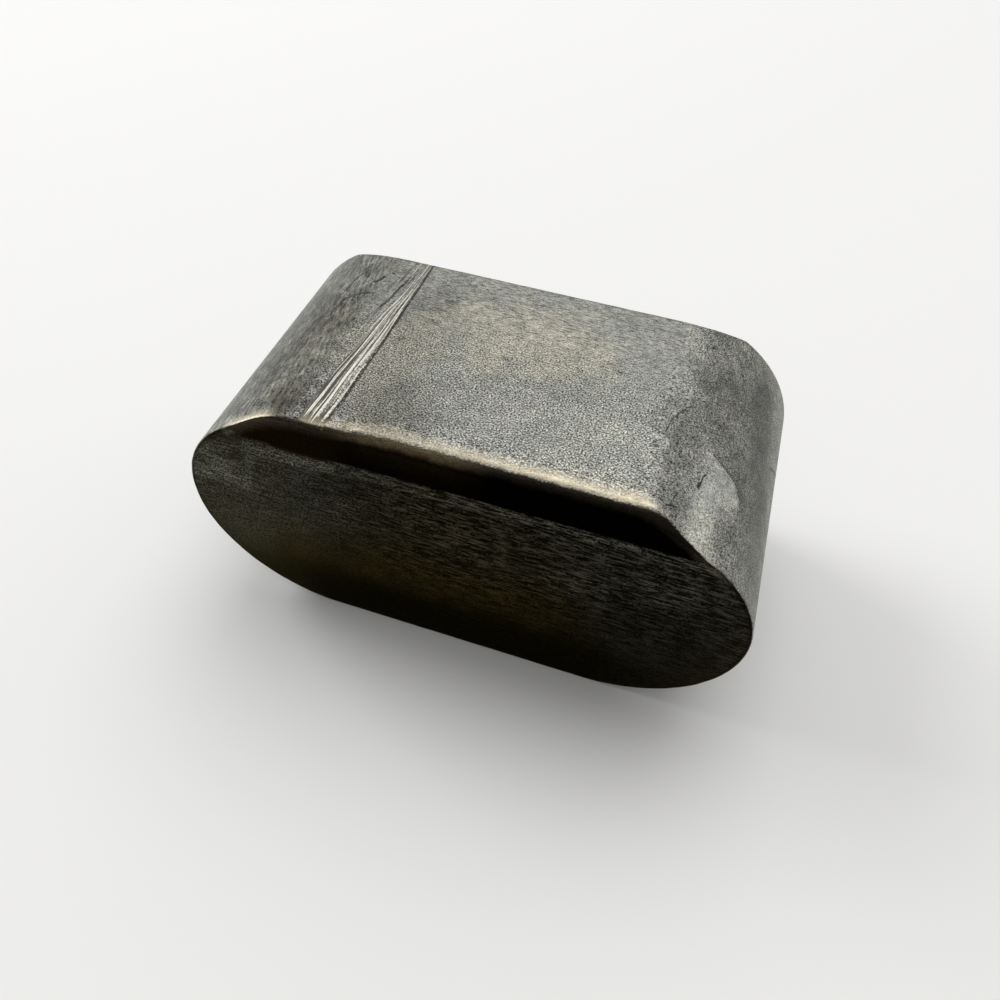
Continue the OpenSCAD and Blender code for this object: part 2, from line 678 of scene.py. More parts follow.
@dataclass
class MachineKey:
    """The key itself: its form from the tree, the marks of its making and use, and its finishes."""

    form: KeyForm
    strip: MilledStrip = field(default_factory=MilledStrip)
    dents: tuple[Dent, ...] = (
        Dent(8.91, -3.38, 0.3, 0.014),
        Dent(8.08, -4.93, 0.25, 0.01),
        Dent(-7.36, 3.77, 0.3, 0.02),
        Dent(-8.33, 2.1, 0.25, 0.015),
        Dent(-7.0, -1.09, 0.15, 0.012),
    )

    def build(self, wall: bpy.types.Material, face: bpy.types.Material) -> bpy.types.Object:
        """Args:
            wall: finish of the flanks and the round ends.
            face: finish of the two faces.

        Returns:
            The finished piece.
        """
        mesh = self.form.mesh("key_body", wall, face)
        self.mark(mesh)
        for name in ("on_face", "past_facet", "past_turn_down", "past_roll_over"):
            mesh.attributes.remove(mesh.attributes[name])
        piece = bpy.data.objects.new("key_body", mesh)
        bpy.context.scene.collection.objects.link(piece)
        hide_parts(NODE)
        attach(piece, "root")
        return piece

    def mark(self, mesh: bpy.types.Mesh) -> None:
        """Puts the milled strip and the dents into the mesh.

        Args:
            mesh: the plain shape, changed in place.
        """
        flat = np.empty(len(mesh.vertices) * 3)
        mesh.vertices.foreach_get("co", flat)
        points = flat.reshape(-1, 3) / MM
        inside, share = self.strip.carve(points, self.form.height / MM)
        for dent in self.dents:
            reach = np.hypot(points[:, 0] - dent.x, points[:, 1] - dent.y) / dent.half
            upper = points[:, 2] > self.form.radius / MM
            points[:, 2] -= np.where(upper, dent.depth * np.exp(-(reach**2)), 0.0)
        mesh.vertices.foreach_set("co", (points * MM).ravel())
        for trace, values in ((Trace.MILLED, inside), (Trace.ACROSS, share)):
            kept = mesh.attributes.new(trace.value, "FLOAT", "POINT")
            kept.data.foreach_set("value", values.astype(np.float32))
        mesh.update()


class SteelEffects:
    """The shader groups that both finishes share, each built once."""

    def __init__(self) -> None:
        """Builds the groups."""
        self.outline = self.make_outline()
        self.grain = self.make_grain()
        self.cloud = self.make_cloud()
        self.patch = self.make_patch()
        self.scratch = self.make_scratch()

    def make_outline(self) -> NodeRecipe:
        """Where a point lies by the key's outline: Along the wall from its middle, and Sunk below it."""
        inputs = {"Place": ORIGIN, "Flat": 0.0, "Radius": 1.0}
        recipe = NodeRecipe("key_outline", TreeKind.SHADER, inputs, "Along", "Sunk")
        pad = recipe.pad
        x, _, z = pad.split(recipe.given("Place"))
        flat, radius = recipe.given("Flat"), recipe.given("Radius")
        past = pad.maths("MAXIMUM", abs(x) - flat, 0.0)
        up = z - radius
        along = pad.maths("MINIMUM", abs(x), flat) + radius * pad.maths("ARCTAN2", past, up)
        sunk = radius - pad.maths("SQRT", past * past + up * up)
        recipe.give(Along=along * pad.maths("SIGN", x), Sunk=sunk)
        return recipe

    def make_grain(self) -> NodeRecipe:
        """Grain of short strokes, drawn out along the first axis after a turn: a Shade around 0."""
        inputs = {"Place": ORIGIN, "Size": 0.06, "Stretch": 1.0, "Turn": ORIGIN}
        recipe = NodeRecipe("steel_grain", TreeKind.SHADER, inputs, "Shade")
        pad = recipe.pad
        turned = pad.place(
            "ShaderNodeVectorRotate",
            {"Vector": recipe.given("Place"), "Rotation": recipe.given("Turn")},
            rotation_type="EULER_XYZ",
        )
        x, y, z = pad.split(pad.num(turned))
        drawn = pad.join(x / recipe.given("Stretch"), y, z)
        recipe.give(Shade=pad.noise(drawn, 1.0 / recipe.given("Size"), detail=2.0, rough=0.6) - 0.5)
        return recipe

    def make_cloud(self) -> NodeRecipe:
        """Patches of oxide and handling: a Mask from 0 to 1."""
        inputs = {"Place": ORIGIN, "Size": 3.0, "Low": 0.4, "High": 0.65}
        recipe = NodeRecipe("oxide_cloud", TreeKind.SHADER, inputs, "Mask")
        pad = recipe.pad
        cloud = pad.noise(recipe.given("Place"), 1.0 / recipe.given("Size"), detail=4.0, rough=0.6)
        recipe.give(Mask=pad.ramp(cloud, recipe.given("Low"), recipe.given("High")))
        return recipe

    def make_patch(self) -> NodeRecipe:
        """An oval area with a soft border: a Mask that is 1 at its middle."""
        inputs = {"Place": ORIGIN, "Middle": ORIGIN, "Half": (1.0, 1.0, 1.0)}
        recipe = NodeRecipe("soft_patch", TreeKind.SHADER, inputs, "Mask")
        pad = recipe.pad
        arm = pad.vector("SUBTRACT", recipe.given("Place"), recipe.given("Middle"))
        reach = pad.vector("LENGTH", pad.vector("DIVIDE", arm, recipe.given("Half")))
        recipe.give(Mask=pad.ramp(reach, 0.4, 1.15, 1.0, 0.0))
        return recipe

    def make_scratch(self) -> NodeRecipe:
        """One straight stretch of a scratch, or a pit where both ends are the same: a Mask."""
        inputs = {"Place": ORIGIN, "Start": ORIGIN, "End": ORIGIN, "Width": 0.08}
        recipe = NodeRecipe("scratch", TreeKind.SHADER, inputs, "Mask")
        pad = recipe.pad
        start = recipe.given("Start")
        arm = pad.vector("SUBTRACT", recipe.given("Place"), start)
        run = pad.vector("SUBTRACT", recipe.given("End"), start)
        square = pad.vector("DOT_PRODUCT", run, run) + 0.0001
        share = pad.num(pad.place("ShaderNodeClamp", {0: pad.vector("DOT_PRODUCT", arm, run) / square}))
        aside = pad.vector("LENGTH", pad.vector("SUBTRACT", arm, pad.scale(run, share)))
        half = recipe.given("Width") * 0.5
        recipe.give(Mask=pad.ramp(aside, half * 0.5, half * 1.2, 1.0, 0.0))
        return recipe


class SteelTree:
    """One steel material in the making: its tree, its coordinates in millimetres, and its end."""

    def __init__(self, name: str, effects: SteelEffects, form: KeyForm) -> None:
        """Starts the material.

        Args:
            name: the material's name.
            effects: the shared shader groups.
            form: the key's form, for the places of its parts.
        """
        self.effects = effects
        self.form = form
        self.material = bpy.data.materials.new(name)
        self.material.use_nodes = True
        self.material.node_tree.nodes.clear()
        self.pad = NodePad(self.material.node_tree)
        coordinates = self.pad.num(self.pad.place("ShaderNodeTexCoord"), "Object")
        self.place = self.pad.scale(coordinates, 1.0 / MM)
        self.x, self.y, self.z = self.pad.split(self.place)
        outline = effects.outline.placed(
            self.pad, Place=self.place, Flat=form.flat_half / MM, Radius=form.radius / MM
        )
        self.along = self.pad.num(outline, "Along")
        self.sunk = self.pad.num(outline, "Sunk")

    def grain(self, grain: Grain) -> Num:
        """A grain, as a shade around 0."""
        values = {"Size": grain.size, "Stretch": grain.stretch, "Turn": grain.turn}
        return self.effects.grain.value(self.pad, Place=self.place, **values)

    def cloud(self, size: float, low: float, high: float) -> Num:
        """A cloudy mask, by the size of its clouds in mm and the step that shapes it."""
        return self.effects.cloud.value(self.pad, Place=self.place, Size=size, Low=low, High=high)

    def ragged(self, chart: Num, scale: float, reach: float) -> Num:
        """A chart whose places are shaken, so that what is drawn on it gets a ragged border.

        Args:
            chart: the place on a surface's chart.
            scale: how many waves there are in a millimetre.
            reach: how far a place is moved at most, in mm.

        Returns:
            The shaken chart.
        """
        pad = self.pad
        wave = pad.place("ShaderNodeTexNoise", {"Vector": self.place, "Scale": scale, "Detail": 3.0})
        offset = pad.vector("SUBTRACT", pad.num(wave, "Color"), (0.5, 0.5, 0.5))
        return pad.vector("ADD", chart, pad.scale(offset, 2.0 * reach))

    def patches(self, chart: Num, patches: tuple[Patch, ...]) -> tuple[Num, Num]:
        """The shade and the warmth that the patches give together.

        Args:
            chart: the place on the surface's chart.
            patches: the patches.

        Returns:
            A factor for the tone, and a share of the warm tone.
        """
        pad = self.pad
        ragged = self.ragged(chart, 0.9, 0.9)
        shade: object = 1.0
        warmth: object = 0.0
        for patch in patches:
            values = {"Place": ragged, "Middle": (*patch.middle, 0.0), "Half": (*patch.half, FLAT_CHART)}
            mask = self.effects.patch.value(pad, **values)
            shade = (mask * (patch.shade - 1.0) + 1.0) * shade
            warmth = mask * patch.warmth + warmth
        return shade, warmth

    def marks(self, chart: Num, lines: tuple[Scratch, ...]) -> Num:
        """The mask of all the lines given.

        Args:
            chart: the shaken place on the wall's chart.
            lines: the scratches or pits.

        Returns:
            The mask.
        """
        pad = self.pad
        total: object = 0.0
        for line in lines:
            spots = [(self.form.along_at(x * MM) / MM, y, 0.0) for x, y in line.points]
            for start, end in zip(spots, spots[1:] or spots):
                values = {"Place": chart, "Start": start, "End": end, "Width": line.width}
                total = pad.maths("MAXIMUM", self.effects.scratch.value(pad, **values), total)
        return total

    def finish(self, tone: Num, rough: Num, height: Num, sheen: Colour) -> bpy.types.Material:
        """Ends the material in a metal shader.

        Args:
            tone: base colour.
            rough: roughness.
            height: height of the surface in millimetres.
            sheen: colour of the reflection at a glancing angle.

        Returns:
            The material.
        """
        pad = self.pad
        bump = pad.place("ShaderNodeBump", {"Height": height * MM, "Distance": 1.0, "Strength": 1.0})
        inputs = {"Base Color": tone, "Roughness": rough, "Metallic": 1.0, "Normal": bump.outputs[0]}
        inputs["Specular Tint"] = (*sheen, 1.0)
        shader = pad.place("ShaderNodeBsdfPrincipled", inputs)
        end = pad.place("ShaderNodeOutputMaterial")
        pad.tree.links.new(shader.outputs[0], end.inputs[0])
        return self.material


@dataclass(frozen=True)
class EdgeFinish:
    """The chamfers: a rolled rim at the top with a pale painted highlight, and brown oxide that darkens
    downwards to near black, partly as painted shade.

    The rim highlight's strength is given along the wall, its highlight_profile over the distance past the
    chamfer's plane, and the depths between which the upper tones fade into the painted shade along the
    key. The left, middle and lifted stretches are places along the key where they begin and end. All are in
    mm.
    """

    # Pale tone of the painted highlight on the rolled rim
    rim_highlight: Colour = (0.9, 0.79, 0.58)
    # Chamfer browns: oxide, darkened downwards to near black as painted shade
    upper: Colour = (0.036, 0.03, 0.021)
    tan: Colour = (0.052, 0.044, 0.03)
    rolled: Colour = (0.19, 0.145, 0.085)
    lower_oxide_and_shade: Colour = (0.0005, 0.0005, 0.0004)
    brown: Colour = (0.007, 0.0045, 0.0014)
    glow: Colour = (0.0085, 0.0058, 0.0022)
    far: Colour = (0.13, 0.125, 0.11)
    strength: tuple[Plan, ...] = (
        (-10.4, 0.0), (-9.8, 0.5), (-9.2, 1.0), (-8.2, 0.7), (-7.6, 0.0), (-6.7, 0.0),
        (-6.5, 0.45), (-1.0, 0.6), (2.5, 0.95), (6.0, 1.15), (7.2, 1.4), (7.7, 0.1), (9.0, 0.1),
    )
    highlight_profile: tuple[Plan, ...] = (
        (-0.5, 0.0), (-0.38, 0.16), (-0.2, 0.34), (-0.12, 0.66), (-0.05, 0.66), (0.02, 0.0),
    )
    fade_start: tuple[Plan, ...] = ((-6.0, 0.02), (-4.0, 0.2), (-0.5, 0.22), (1.6, 0.1))
    fade_end: tuple[Plan, ...] = ((-6.0, 0.6), (-4.0, 0.52))
    left_end: Plan = (-5.6, -4.0)
    middle: tuple[Plan, Plan] = ((-6.0, -3.5), (-0.8, 1.6))
    lifted: tuple[Plan, Plan] = ((-8.3, -7.3), (-5.8, -4.6))
    lift: float = 0.1
    rim_highlight_reach: Plan = (0.25, 0.45)
    rolled_depth: Plan = (0.08, 0.3)
    glow_depth: Plan = (0.45, 1.1)

    def lay(self, steel: SteelTree, tone: Num) -> tuple[Num, Num]:
        """Lays the edges over a surface's own tone.

        Args:
            steel: the material in the making.
            tone: the surface's own tone.

        Returns:
            The tone with its edges, and the mask of the chamfers.
        """
        pad = steel.pad
        near, far = Trace.NEAR.read(pad), Trace.FAR.read(pad)
        wobble = pad.noise(steel.place, 2.0, 4.0, 0.75) - 0.5
        # Painted highlight along the rolled rim at the chamfer's top
        rim_highlight = pad.spread(near + wobble * 0.2, self.highlight_profile) * pad.spread(steel.along, self.strength)
        shown = pad.ramp(steel.sunk, *self.rim_highlight_reach, 1.0, 0.0) * (wobble * 1.6 + 1.0)
        tone = pad.blend(rim_highlight * shown, tone, self.rim_highlight)
        below = pad.ramp(near, 0.0, 0.02) * pad.ramp(steel.sunk, 0.3, 0.5)
        lift = pad.within(steel.x, *self.lifted) * self.lift
        on_near = pad.maths("MAXIMUM", pad.ramp(near + wobble * 0.16 + lift, -0.02, 0.08), below)
        left = pad.ramp(steel.x, *self.left_end, 1.0, 0.0)
        middle = pad.within(steel.x, *self.middle)
        depth = steel.sunk + wobble * 0.24
        upper = pad.blend(left, self.upper, self.tan)
        upper = pad.blend(middle * pad.ramp(depth, *self.rolled_depth), upper, self.rolled)
        lower_oxide_and_shade = pad.blend(middle * pad.ramp(depth, *self.glow_depth, 1.0, 0.25), self.lower_oxide_and_shade, self.glow)
        lower_oxide_and_shade = pad.blend(left, lower_oxide_and_shade, self.brown)
        # Painted shade: the chamfer's brown fades downwards to near black
        start, end = (pad.spread(steel.x, stops) for stops in (self.fade_start, self.fade_end))
        tone = pad.blend(on_near, tone, pad.blend(pad.ramp(depth, start, end), upper, lower_oxide_and_shade))
        on_far = pad.ramp(far, -0.01, 0.04)
        tone = pad.blend(on_far * (wobble * 0.8 + 0.7), tone, self.far)
        return tone, pad.maths("MAXIMUM", on_near, on_far)


@dataclass(frozen=True)
class WallFinish:
    """Dull steel of the flanks and round ends: speckled grain, mottling, scratches, and patches of tone,
    partly painted shade and highlight.

    The facet's borders and the shade_line beside it, where painted shade starts, are given across the key, as
    places along the wall.
    Contrast is how strongly the grain shows. Over turn_to_strokes, from the near face to the far
    one, it turns from speckle to strokes along the key, and over round_start, along the wall, to
    the round ends' own grain.
    """

    cool: Colour = (0.22, 0.224, 0.206)
    warm: Colour = (0.23, 0.224, 0.189)
    dark: Colour = (0.03, 0.027, 0.022)
    milled: Colour = (0.66, 0.65, 0.58)
    sheen: Colour = (0.9, 0.9, 0.88)
    roughness: float = 0.42
    contrast: float = 7.9
    speckle: Grain = Grain(0.058, 1.3)
    strokes: Grain = Grain(0.06, 4.5, (0.0, 0.0, 0.05))
    across: Grain = Grain(0.13, 4.0, (0.0, 0.0, 1.45))
    turn_to_strokes: Plan = (-1.5, 3.5)
    round_start: Plan = (6.5, 7.8)
    # Tones per area, partly the steel's own mottled tone and partly painted: patches out on the round ends
    # and by the near edge's left end are painted shade, those by the near edge's right end are painted
    # highlight
    patches: tuple[Patch, ...] = (
        Patch((0.3, 1.9), (5.0, 3.2), 1.2, 1.1),
        Patch((-5.0, -0.8), (2.5, 2.6), 0.97, 0.9),
        Patch((-3.7, -4.2), (2.3, 2.2), 0.68, 0.6),
        Patch((-4.2, 2.6), (1.8, 2.2), 0.88, 0.2),
        Patch((-8.3, -2.4), (1.7, 4.8), 0.64, 0.6),
        Patch((-8.3, 1.4), (1.6, 2.2), 0.72, 0.4),
        Patch((-10.2, -0.5), (1.9, 6.0), 0.66),
        Patch((-9.5, 0.0), (0.8, 6.0), 0.86),
        Patch((-8.8, 5.0), (2.8, 1.8), 0.76),
        Patch((-7.5, -4.4), (1.1, 1.5), 0.56, 0.5),
        Patch((-7.4, -5.3), (1.3, 1.2), 0.6, 0.4),
        Patch((3.8, -3.6), (5.4, 3.4), 1.16),
        Patch((5.8, -1.2), (1.6, 4.2), 1.1),
        Patch((9.4, 2.2), (1.2, 1.9), 0.82),
        Patch((8.0, -1.6), (0.8, 2.0), 0.86),
        Patch((11.6, 3.2), (1.0, 3.0), 0.52),
        Patch((12.4, -0.4), (1.3, 3.0), 0.64),
        Patch((12.8, -3.0), (1.4, 3.0), 0.71),
        Patch((6.0, -4.7), (1.2, 1.0), 1.15, 0.6),
    )
    facet_left: float = 8.3
    facet_right: tuple[Plan, ...] = (
        (-5.6, 10.9), (-3.12, 11.15), (-2.56, 11.04), (-2.1, 10.74), (-1.9, 10.38),
        (-1.78, 10.0), (-1.52, 9.46), (-1.42, 9.0), (-1.26, 8.64),
    )
    shade_line: tuple[Plan, ...] = (
        (-5.4, 7.6), (-4.0, 7.4), (-2.4, 7.35), (-1.6, 7.45), (-0.6, 7.6), (0.2, 7.85), (1.5, 8.0),
    )
    scratches: tuple[Scratch, ...] = (
        Scratch(((-8.67, 1.68), (-8.78, 2.5), (-8.62, 3.1), (-8.54, 3.9), (-8.18, 4.41)), 0.12),
        Scratch(((-9.08, 0.54), (-8.5, 0.87), (-8.51, 1.4), (-8.37, 2.1)), 0.12),
        Scratch(((-8.37, 2.1), (-7.78, 2.52), (-7.16, 2.64)), 0.12),
        Scratch(((-6.62, 0.4), (-6.42, 1.4), (-6.11, 3.33), (-6.02, 3.78), (-5.88, 5.2)), 0.1),
        Scratch(((7.18, -1.44), (7.24, -0.9), (7.53, -0.15), (7.86, 0.42), (8.09, 0.48)), 0.08),
    )
    pits: tuple[Scratch, ...] = (
        Scratch(((-7.45, 3.51), (-7.28, 3.69), (-7.16, 3.96)), 0.18),
        Scratch(((-8.41, 1.75), (-8.36, 2.12)), 0.26),
        Scratch(((-7.19, 0.6), (-7.15, 0.7)), 0.2),
        Scratch(((-6.12, 3.28), (-6.05, 3.6)), 0.16),
        Scratch(((-7.0, -1.09),), 0.12),
        Scratch(((-7.56, -3.1),), 0.13),
        Scratch(((-7.1, -3.42),), 0.12),
        Scratch(((-6.88, 4.3),), 0.16),
        Scratch(((9.12, -2.49), (9.01, -2.88), (8.91, -3.39)), 0.09),
        Scratch(((8.93, -3.2), (8.91, -3.39)), 0.18),
        Scratch(((7.91, -4.98), (8.26, -4.89)), 0.12),
        Scratch(((8.25, 4.52),), 0.18),
        Scratch(((9.78, 3.99),), 0.18),
        Scratch(((9.38, 0.5),), 0.12),
        Scratch(((11.92, 1.2), (12.3, 1.75), (12.54, 2.3)), 0.16),
        Scratch(((12.54, 2.3), (12.56, 1.65)), 0.4),
    )
    smudges: tuple[Scratch, ...] = (
        Scratch(((-3.95, 1.55), (-3.6, 1.62)), 0.36),
        Scratch(((-4.15, 2.43), (-3.75, 2.5)), 0.36),
        Scratch(((-3.7, 3.16), (-3.3, 3.3)), 0.34),
        Scratch(((-0.12, 0.38), (0.15, 0.46)), 0.3),
        Scratch(((-4.8, 0.0), (-4.6, 0.08)), 0.28),
        Scratch(((4.65, 1.12), (4.8, 1.18)), 0.25),
        Scratch(((-8.7, 1.0), (-8.4, 1.6)), 0.3),
    )

    def material(self, form: KeyForm, effects: SteelEffects, edges: EdgeFinish) -> bpy.types.Material:
        """Makes the finish.

        Args:
            form: the key's form, for the places of its parts.
            effects: the shared shader groups.
            edges: the finish of the chamfers.

        Returns:
            The material.
        """
        steel = SteelTree("key_wall_steel", effects, form)
        pad = steel.pad
        chart = pad.join(steel.along, steel.y, 0.0)
        shade, warmth = steel.patches(chart, self.patches)
        on_round = pad.ramp(abs(steel.along), *self.round_start)
        mottle, blotch = steel.cloud(1.6, 0.33, 0.67) - 0.5, steel.cloud(0.45, 0.35, 0.65) - 0.5
        shade = shade * (mottle * (on_round * 0.2 + 0.18) + blotch * (on_round * 0.1 + 0.2) + 1.0)
        shaken = steel.ragged(chart, 5.0, 0.1)
        # Painted highlight on the facet, and painted shade beside its right border and past the line by the
        # right round end
        facet, beside = self.facet_highlight_and_shade(steel)
        shade = shade * (facet * 1.15 + 1.0) * (1.0 - beside * 0.36) * self.painted_shade_past_line(steel, shaken)
        grain = self.grain_of(steel, on_round) * (1.0 - facet * 0.55)
        shade = shade * pad.maths("MAXIMUM", grain * self.contrast + 1.0, 0.12)
        tone = pad.scale(pad.blend(warmth + mottle * 0.8, self.cool, self.warm), shade)
        smudges = steel.marks(shaken, self.smudges) * pad.ramp(grain, -0.09, 0.06, 0.85, 0.25)
        marks = pad.maths("MAXIMUM", steel.marks(shaken, self.scratches) * 0.85, smudges)
        marks = pad.maths("MAXIMUM", marks, steel.marks(shaken, self.pits) * 0.95)
        tone = self.lay_milled(steel, pad.blend(marks, tone, self.dark))
        tone, chamfer = edges.lay(steel, tone)
        rough = self.roughness + grain * 0.25 - chamfer * 0.12
        return steel.finish(tone, rough, grain * 0.03, self.sheen)

    def grain_of(self, steel: SteelTree, on_round: Num) -> Num:
        """The grain: speckled near the near edge, drawn along the key near the far one.

        Args:
            steel: the material in the making.
            on_round: the mask of the round ends, where the grain is drawn across.

        Returns:
            The grain, around 0.
        """
        pad = steel.pad
        speckle, strokes, across = (steel.grain(kind) for kind in (self.speckle, self.strokes, self.across))
        far = pad.ramp(steel.y, *self.turn_to_strokes)
        flat = speckle * (1.2 - far * 0.85) + strokes * (far * 0.25 + 0.15)
        right = pad.ramp(steel.x, -1.0, 1.0)
        ends = speckle * (right * 0.35 + 0.5) + across * (0.45 - right * 0.3)
        return flat + (ends - flat) * on_round

    def facet_highlight_and_shade(self, steel: SteelTree) -> tuple[Num, Num]:
        """The facet's painted highlight, brightest beside its crisp right border, and the painted shade
        beside that border.
        """
        pad, y = steel.pad, steel.y
        inside = pad.spread(y, self.facet_right) - steel.along
        full = self.facet_left + pad.ramp(y, -4.0, -2.2, 0.9, 1.7)
        bright = pad.ramp(steel.along, self.facet_left, full)
        bright = bright * pad.ramp(inside, -0.04, pad.ramp(y, -3.8, -2.7, 1.5, 0.12))
        ends = pad.ramp(y, -1.5, -1.25, 1.0, 0.0) * pad.ramp(y, -4.2, -2.4, 0.72, 1.0)
        beside = pad.within(inside, (-0.7, -0.1), (-0.05, 0.03))
        return bright * ends, beside * pad.within(y, (-3.6, -2.7), (-1.7, -1.2))

    def painted_shade_past_line(self, steel: SteelTree, shaken: Num) -> Num:
        """Painted shade: the darker tone that starts at a line beside the right round end, as a factor."""
        pad = steel.pad
        past = pad.split(shaken)[0] - pad.spread(steel.y, self.shade_line)
        shown = pad.ramp(steel.y, -0.5, 1.5, 1.0, 0.6)
        return 1.0 - pad.within(past, (-0.06, 0.06), (0.2, 1.9)) * shown * 0.26

    def lay_milled(self, steel: SteelTree, tone: Num) -> Num:
        """Lays the milled strip's streaks, and the scored lines beside it, over the wall's tone.

        Args:
            steel: the material in the making.
            tone: the wall's tone.

        Returns:
            The tone with the strip.
        """
        pad = steel.pad
        inside, across = Trace.MILLED.read(pad), Trace.ACROSS.read(pad)
        lines = pad.noise(pad.join(inside * 7.0, steel.y * 0.35, 0.0), 1.0, detail=3.0, rough=0.7)
        beside = pad.ramp(inside, -1.1, -0.5) * pad.ramp(across, -0.1, 0.1, 1.0, 0.0)
        scored = pad.ramp(steel.y, -2.5, 1.0) * beside
        tone = pad.blend(pad.ramp(lines, 0.47, 0.37) * scored * 0.85, tone, self.dark)
        tone = pad.blend(pad.ramp(lines, 0.56, 0.66) * scored * 0.5, tone, self.milled)
        streak = pad.noise(pad.join(across * 9.0, steel.y * 0.12, 0.0), 1.0, detail=3.0, rough=0.8)
        fleck = pad.noise(steel.place, 11.0, 2.0) - 0.5
        torn = pad.ramp(across, 0.45, 0.8) * pad.ramp(steel.y, -2.2, -0.8, 0.25, 0.0) + 0.14
        near_end = pad.ramp(steel.y, -5.7, -5.1, 0.12, 0.0)
        far_end = pad.ramp(steel.y, -2.0, 2.0, 0.0, 0.03)
        share = pad.ramp(streak + fleck * torn + near_end + far_end, 0.43, 0.56)
        milled = pad.ramp(inside, 0.0, 0.05)
        tone = pad.blend(milled, tone, pad.blend(share * 0.93, self.milled, self.dark))
        # Painted shade: a dark line along the step at the strip's deeper border
        step = pad.ramp(inside, -0.1, -0.03) * pad.ramp(across, 0.84, 0.94) * pad.ramp(fleck, -0.2, -0.04)
        return pad.blend(step, tone, self.dark)


@dataclass(frozen=True)
class FaceFinish:
    """Ground steel of the two faces, browned, with fine grinding lines that fade downwards, and painted shade
    that darkens the near face, most towards its foot.

    Contrast is how strongly the lines show. The bands are heights over which the lines, the brown and
    the painted shade change, outline is the rim that darkens beside the key's outline, and behind is
    how much the far face is painted lighter than the near face's painted shade.
    """

    # Near-black tones: mostly painted shade of the near face, over browned steel
    top: Colour = (0.0192, 0.0192, 0.0155)
    foot: Colour = (0.019, 0.0148, 0.0052)
    painted_deep_shade: Colour = (0.0105, 0.0105, 0.003)
    sheen: Colour = (0.54, 0.52, 0.47)
    roughness: float = 0.27
    contrast: float = 8.5
    fine: Grain = Grain(0.05, 2.2)
    long: Grain = Grain(0.12, 7.0, (0.0, 0.015, 0.0))
    slant: Grain = Grain(0.1, 5.0, (0.0, -0.05, 0.0))
    low_band: Plan = (3.0, 8.0)
    deep_shade_band: Plan = (1.2, 3.4)
    foot_shade_band: Plan = (1.5, 4.2)
    outline: Plan = (0.05, 0.28)
    behind: float = 4.2
    # Mostly painted reflection and shade: lighter at the left, darker low in the middle and at the right
    patches: tuple[Patch, ...] = (
        Patch((-11.0, 6.0), (3.0, 6.0), 1.5),
        Patch((-10.0, 10.2), (1.5, 1.6), 0.62),
        Patch((-8.9, 5.2), (3.2, 1.9), 1.35),
        Patch((-7.0, 8.6), (3.4, 3.2), 1.4),
        Patch((-4.6, 9.9), (1.7, 1.2), 0.7),
        Patch((0.5, 6.5), (7.0, 6.5), 1.0, 0.5),
        Patch((-5.5, 1.9), (4.5, 1.8), 0.5, 0.2),
        Patch((2.0, 1.4), (10.0, 2.6), 0.34, 0.2),
        Patch((4.8, 7.6), (2.2, 0.9), 1.35),
        Patch((9.2, 9.0), (2.3, 1.0), 1.2),
        Patch((8.6, 7.2), (1.7, 0.9), 0.66),
        Patch((11.3, 6.0), (2.2, 5.5), 0.54),
        Patch((7.5, 5.0), (4.5, 3.2), 0.66),
    )

    def material(self, form: KeyForm, effects: SteelEffects, edges: EdgeFinish) -> bpy.types.Material:
        """Makes the finish.

        Args:
            form: the key's form, for the places of its parts.
            effects: the shared shader groups.
            edges: the finish of the chamfers.

        Returns:
            The material.
        """
        steel = SteelTree("key_face_steel", effects, form)
        pad, z = steel.pad, steel.z
        shade, warmth = steel.patches(pad.join(steel.x, z, 0.0), self.patches)
        low = pad.ramp(z, *self.low_band, 1.0, 0.0)
        fine, long, slant = (steel.grain(kind) for kind in (self.fine, self.long, self.slant))
        behind = pad.ramp(steel.y, -1.0, 1.0)
        strength = (1.0 - low * 0.75) * pad.ramp(steel.x, -7.0, 1.0, 0.55, 1.5)
        lines = (fine * (1.9 - low * 0.8) + (long + slant) * strength) * (1.0 - behind * 0.35)
        shade = shade * ((steel.cloud(1.8, 0.33, 0.67) - 0.5) * 0.2 + 1.0)
        shade = shade * pad.maths("MAXIMUM", lines * self.contrast + 1.0, 0.08)
        strip = pad.within(Trace.NEAR.read(pad), (-0.43, -0.34), (-0.09, -0.04))
        outline = pad.ramp(steel.sunk, *self.outline, 0.25, 1.0)
        shade = shade * (strip * pad.ramp(steel.x, -6.0, -2.0, 1.3, 0.6) + 1.0) * outline
        low = low * pad.ramp(steel.x, 4.5, 8.0, 1.0, 0.1) * pad.ramp(steel.x, -10.5, -8.0, 0.3, 1.0)
        tone = pad.blend((warmth + low) * (1.0 - behind * 0.85), self.top, self.foot)
        painted_deep_shade = pad.ramp(z, *self.deep_shade_band, 1.0, 0.0) * pad.ramp(steel.x, 5.5, 8.5, 1.0, 0.3) * (1.0 - behind)
        # Painted shade: darker towards the foot of the near face, and the far face painted lighter
        shade = shade * pad.ramp(z, *self.foot_shade_band, 0.6, 1.0) * (behind * self.behind + 1.0)
        tone = pad.scale(pad.blend(painted_deep_shade, tone, self.painted_deep_shade), shade)
        tone, _ = edges.lay(steel, tone)
        rough = self.roughness + lines * 0.2
        return steel.finish(tone, rough, lines * 0.03, self.sheen)


@dataclass(frozen=True)
class Lamp:
    """A square soft lamp: its place and size in millimetres, its aim and its power in watts."""

    name: str
    place: tuple[float, float, float]
    side: float
    watts: float
    aim: tuple[float, float, float] = (0.0, 0.0, 6.0)

    def hang(self) -> None:
        """Puts the lamp into the scene."""
        light = bpy.data.lights.new(self.name, "AREA")
        light.shape = "SQUARE"
        light.size = self.side * MM
        light.energy = self.watts
        lamp = bpy.data.objects.new(self.name, light)
        place = Vector(self.place) * MM
        lamp.location = place
        lamp.rotation_euler = (Vector(self.aim) * MM - place).to_track_quat("-Z", "Y").to_euler()
        bpy.context.scene.collection.objects.link(lamp)


